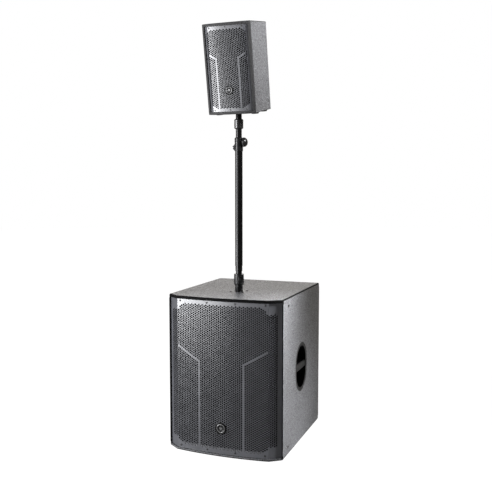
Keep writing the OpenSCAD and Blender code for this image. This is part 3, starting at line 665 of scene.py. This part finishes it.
top_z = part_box("sub_top_panel")[1].z
bottom_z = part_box("sub_bottom_panel")[0].z
FRONT = Vector((0, -1, 0))
# The roundings, and the front faces of the top panel and the sides, get near-black painted shade for the dark
# lines along the cabinet's front.
rounded_copy("sub_top_panel", TOP_EDGE, sub_edge(top_z), EDGE_STEPS, PAINTED_SHADE_EDGES, FRONT)
rounded_copy("sub_bottom_panel", TOP_EDGE, sub_edge(bottom_z), EDGE_STEPS, PAINTED_SHADE_EDGES)
rounded_copy("sub_left_side", SIDE_EDGE, sub_edge(), EDGE_STEPS, PAINTED_SHADE_EDGES, FRONT)
rounded_copy("sub_right_side", SIDE_EDGE, sub_edge(), EDGE_STEPS, PAINTED_SHADE_EDGES, FRONT)


def sat_edge(edge):
    """Outer edges of the satellite's cabinet, all but those of the grille's opening."""
    ends = [IN_SATELLITE.inverted() @ v.co for v in edge.verts]

    def outside(p):
        front = front_of(abs(p.x), SAT_BOW_R, SAT_BOW_FRONT, SAT_SHOULDER, SAT_HALF, SAT_WING)
        return abs(p.x) > SAT_HALF - TOUCH or p.y > SAT_REAR - 0.5 * MM or p.y < front

    runs_up = abs(ends[0].z - ends[1].z) > 0.75 * SAT_HEIGHT
    return all(outside(p) for p in ends) and (runs_up or at_level(ends, (0, SAT_HEIGHT)))


SAT_FRONT_SIDE = IN_SATELLITE.to_3x3() @ FRONT
# The satellite's roundings and the frame faces that look forward get dark painted shade.
rounded_copy("sat_cabinet", SAT_EDGE, sat_edge, EDGE_STEPS, SAT_PAINTED_SHADE_EDGES, SAT_FRONT_SIDE)
for handle in ("sub_left_handle", "sub_right_handle"):
    rounded_copy(handle, 2.2 * MM)
rounded_copy("sub_feet", 1.5 * MM)
rounded_copy("sat_feet", 1.5 * MM)
for tube in ("pole_lower_tube", "pole_upper_tube"):
    rounded_copy(tube, 0.8 * MM)
for fitting, width, finish in (
    ("pole_foot_collar", 0.8 * MM, SATIN_PLASTIC),
    ("pole_clamp_collar", 0.8 * MM, SATIN_PLASTIC),
    ("pole_stop_ring", 2.5 * MM, GLOSSY_PLASTIC),
    ("pole_clamp_knob", 1.2 * MM, GLOSSY_PLASTIC),
    ("amp_level_knob", 0.7 * MM, SATIN_PLASTIC),
    ("amp_crossover_knob", 0.7 * MM, SATIN_PLASTIC),
):
    rounded_copy(fitting, width).data.materials[0] = finish


# ---------------------------------------------------------------- badges
def turned_piece(name, outline, slot_name, body, placed, steps=64):
    """Turns an outline of (radius, height) about local Z."""
    bm = bmesh.new()
    points = [bm.verts.new((r, 0, h)) for r, h in outline]
    edges = [bm.edges.new(pair) for pair in zip(points, points[1:])]
    bmesh.ops.spin(
        bm, geom=points + edges, cent=(0, 0, 0), axis=(0, 0, 1), angle=math.tau, steps=steps, use_merge=True
    )
    bmesh.ops.remove_doubles(bm, verts=bm.verts, dist=1e-7)
    bmesh.ops.recalc_face_normals(bm, faces=bm.faces)
    bm.transform(placed)
    return new_piece(name, bm, slot_name, body)


def level_bars(name, radius, height, rise, slot_name, body, placed):
    """Five plain bars of different lengths, like a level meter."""
    bm = bmesh.new()
    width = radius * 0.13
    shares = (0.35, 0.7, 1.0, 0.55, 0.8)
    for k, share in enumerate(shares):
        made = bmesh.ops.create_cube(bm, size=1)["verts"]
        size = Matrix.Diagonal((width, share * radius, rise, 1))
        place = Matrix.Translation(((k - len(shares) // 2) * width * 1.5, 0, height))
        bmesh.ops.transform(bm, matrix=place @ size, verts=made)
    bmesh.ops.bevel(bm, geom=bm.edges[:], offset=0.25 * MM, segments=2, profile=0.5, affect="EDGES")
    bm.transform(placed)
    return new_piece(name, bm, slot_name, body)


def half_round(inner, outer, base, top, steps=8):
    """Outline of a ring with a rounded top, from its inner to its outer radius."""
    middle, reach = (inner + outer) / 2, (outer - inner) / 2
    turns = [math.pi * k / steps for k in range(steps + 1)]
    arc = [(middle - math.cos(a) * reach, base + (top - base) * math.sin(a)) for a in turns]
    return [(inner, 0), *arc, (outer, 0)]


def make_badge(prefix, radius, thick, placed):
    """A black rim, a satin metal ring and a dark dished middle with plain level bars."""
    node = prefix + "_badge"
    body = body_of(node)
    rim_in, ring_in, steps = radius * 0.74, radius * 0.60, 8
    rim = half_round(rim_in, radius, thick * 0.4, thick)
    ring = half_round(ring_in, rim_in, thick * 0.5, thick * 0.8)
    dish = [(ring_in * k / steps, thick * (0.38 + 0.1 * (k / steps) ** 2)) for k in range(steps + 1)]
    turned_piece(node + "_rim", rim, "black_plastic", body, placed)
    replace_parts(turned_piece(node + "_ring", ring, "badge_metal", body, placed), node)
    turned_piece(node + "_dish", dish, "black_plastic", body, placed)
    level_bars(node + "_bars", ring_in, thick * 0.5, thick * 0.3, "badge_metal", body, placed)


FACING_FRONT = Matrix.Rotation(math.radians(90), 4, "X")
low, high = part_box("sub_badge")
sub_badge_place = Matrix.Translation((0, high.y, (low.z + high.z) / 2)) @ FACING_FRONT
make_badge("sub", (high.x - low.x) / 2, high.y - low.y, sub_badge_place)
low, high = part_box("sat_badge")
sat_badge_place = IN_SATELLITE @ Matrix.Translation((0, -SAT_BOW_FRONT + 5 * MM, SAT_BADGE_UP)) @ FACING_FRONT
make_badge("sat", (high.x - low.x) / 2, 3 * MM, sat_badge_place)


# ---------------------------------------------------------------- marks round the amplifier's knobs
def make_dial(knob, marks=11, turn=300):
    """Raised marks round a knob, with a longer one at each end and in the middle."""
    width, rise, gap = 0.9 * MM, 0.3 * MM, 1.6 * MM
    low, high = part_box(knob)
    centre = (low + high) / 2
    radius = (high.x - low.x) / 2
    bm = bmesh.new()
    for k in range(marks):
        length = 3.4 * MM if k in (0, marks // 2, marks - 1) else 2.2 * MM
        made = bmesh.ops.create_cube(bm, size=1)["verts"]
        size = Matrix.Diagonal((width, rise, length, 1))
        out = Matrix.Translation((0, 0, radius + gap + length / 2))
        spin = Matrix.Rotation(math.radians(turn * (k / (marks - 1) - 0.5)), 4, "Y")
        bmesh.ops.transform(bm, matrix=spin @ out @ size, verts=made)
    bmesh.ops.bevel(bm, geom=bm.edges[:], offset=0.08 * MM, segments=2, profile=0.5, affect="EDGES")
    bm.transform(Matrix.Translation((centre.x, AMP_FACE + rise / 2, centre.z)))
    new_piece(knob + "_dial", bm, "badge_metal", body_of("amp_plate"))


make_dial("amp_level_knob")
make_dial("amp_crossover_knob")


# ---------------------------------------------------------------- floor, light and camera
def glow_material(name, colour, strength):
    made = bpy.data.materials.new(name)
    made.use_nodes = True
    shader = made.node_tree.nodes["Principled BSDF"]
    shader.inputs["Base Color"].default_value = (*colour, 1)
    shader.inputs["Roughness"].default_value = 0.9
    shader.inputs["Specular IOR Level"].default_value = 0.0
    shader.inputs["Emission Color"].default_value = (1, 1, 1, 1)
    shader.inputs["Emission Strength"].default_value = strength
    return made


def stage_piece(name, bm, material):
    """Part of the studio: seen and shaded, but it throws no light back on the speakers."""
    mesh = bpy.data.meshes.new(name)
    bm.to_mesh(mesh)
    bm.free()
    made = bpy.data.objects.new(name, mesh)
    made.data.materials.append(material)
    made.visible_diffuse = False
    made.visible_glossy = False
    bpy.context.scene.collection.objects.link(made)
    return made


def make_floor(radius):
    bm = bmesh.new()
    bmesh.ops.create_circle(bm, cap_ends=True, radius=radius, segments=96)
    stage_piece("floor", bm, glow_material("pale_floor", grey(0.15), 0.98))


def make_backdrop(radius):
    """A pale dome far behind everything, which casts no shadow."""
    bm = bmesh.new()
    bmesh.ops.create_uvsphere(bm, u_segments=48, v_segments=24, radius=radius)
    stage_piece("backdrop", bm, glow_material("pale_backdrop", grey(0), 1.0)).visible_shadow = False


def softbox(name, place, target, size, power, spread=180):
    """A soft light; a spread below 180 degrees narrows its beam as a grid would."""
    light = bpy.data.lights.new(name, "AREA")
    light.shape = "RECTANGLE"
    light.size, light.size_y = size
    light.energy = power
    light.color = (0.97, 0.975, 1)
    light.spread = math.radians(spread)
    made = bpy.data.objects.new(name, light)
    made.location = place
    made.rotation_euler = (Vector(target) - Vector(place)).to_track_quat("-Z", "Y").to_euler()
    made.visible_camera = False
    bpy.context.scene.collection.objects.link(made)


def ranged(tree, value, from_low, from_high, to_low, to_high):
    """A value mapped from one range to another, held at its ends."""
    made = tree.nodes.new("ShaderNodeMapRange")
    made.inputs["From Min"].default_value = from_low
    made.inputs["From Max"].default_value = from_high
    made.inputs["To Min"].default_value = to_low
    made.inputs["To Max"].default_value = to_high
    tree.links.new(value, made.inputs["Value"])
    return made.outputs["Result"]


def make_world(towards, dim, bright):
    """Studio light that is bright around one direction, dim elsewhere and darkest overhead."""
    world = bpy.data.worlds.new("studio")
    world.use_nodes = True
    tree = world.node_tree
    direction = tree.nodes.new("ShaderNodeTexCoord").outputs["Generated"]
    facing = tree.nodes.new("ShaderNodeVectorMath")
    facing.operation = "DOT_PRODUCT"
    tree.links.new(direction, facing.inputs[0])
    facing.inputs[1].default_value = Vector(towards).normalized()
    height = tree.nodes.new("ShaderNodeSeparateXYZ")
    tree.links.new(direction, height.inputs[0])
    strength = tree.nodes.new("ShaderNodeMath")
    strength.operation = "MULTIPLY"
    level = ranged(tree, facing.outputs["Value"], 0.65, 0.95, dim, bright)
    roof = ranged(tree, height.outputs["Z"], 0.25, 0.7, 1, 0.1)
    tree.links.new(level, strength.inputs[0])
    tree.links.new(roof, strength.inputs[1])
    background = tree.nodes["Background"]
    background.inputs["Color"].default_value = (1, 0.965, 0.93, 1)
    tree.links.new(strength.outputs["Value"], background.inputs["Strength"])
    bpy.context.scene.world = world


def make_camera(place, lens, yaw, pitch):
    """A camera turned by yaw from facing the subwoofer's front, and tilted by pitch."""
    data = bpy.data.cameras.new("camera")
    data.sensor_width = 36
    data.lens = lens
    data.clip_end = 100
    camera = bpy.data.objects.new("camera", data)
    camera.location = place
    camera.rotation_euler = (math.radians(90 + pitch), 0, math.radians(yaw))
    bpy.context.scene.collection.objects.link(camera)
    bpy.context.scene.camera = camera


FLOOR_R = 18
make_floor(FLOOR_R)
make_backdrop(FLOOR_R * 1.001)
softbox("key_left", (-2.45, -2.45, 1.3), (0, 0, 0.95), size=(1.2, 2.2), power=208)
softbox("key_front", (-1.0, -3.15, 1.2), (0, 0, 1.3), size=(1.6, 0.45), power=12)
softbox("low_left", (-1.65, -2.55, 0.42), (0, 0, 0.35), size=(1.6, 0.8), power=45)
softbox("side_upper", (1.7, 0.3, 1.4), (0.27, -0.48, 0.68), size=(0.35, 0.35), power=8.2, spread=32)
softbox("side_lower", (1.7, 0.3, 0.35), (0.27, -0.2, 0.02), size=(0.35, 0.35), power=4.0, spread=46)
softbox("satellite_side", (1.5, -0.45, 2.35), (0.11, -0.03, 1.92), size=(0.4, 0.5), power=8.5, spread=56)
make_world((-0.35, 0.9, 0.2), dim=0.17, bright=2.8)
bpy.context.scene.view_settings.view_transform = "Standard"
make_camera((1.1548, -3.0754, 1.1782), lens=51.22, yaw=20.603, pitch=-4.667)
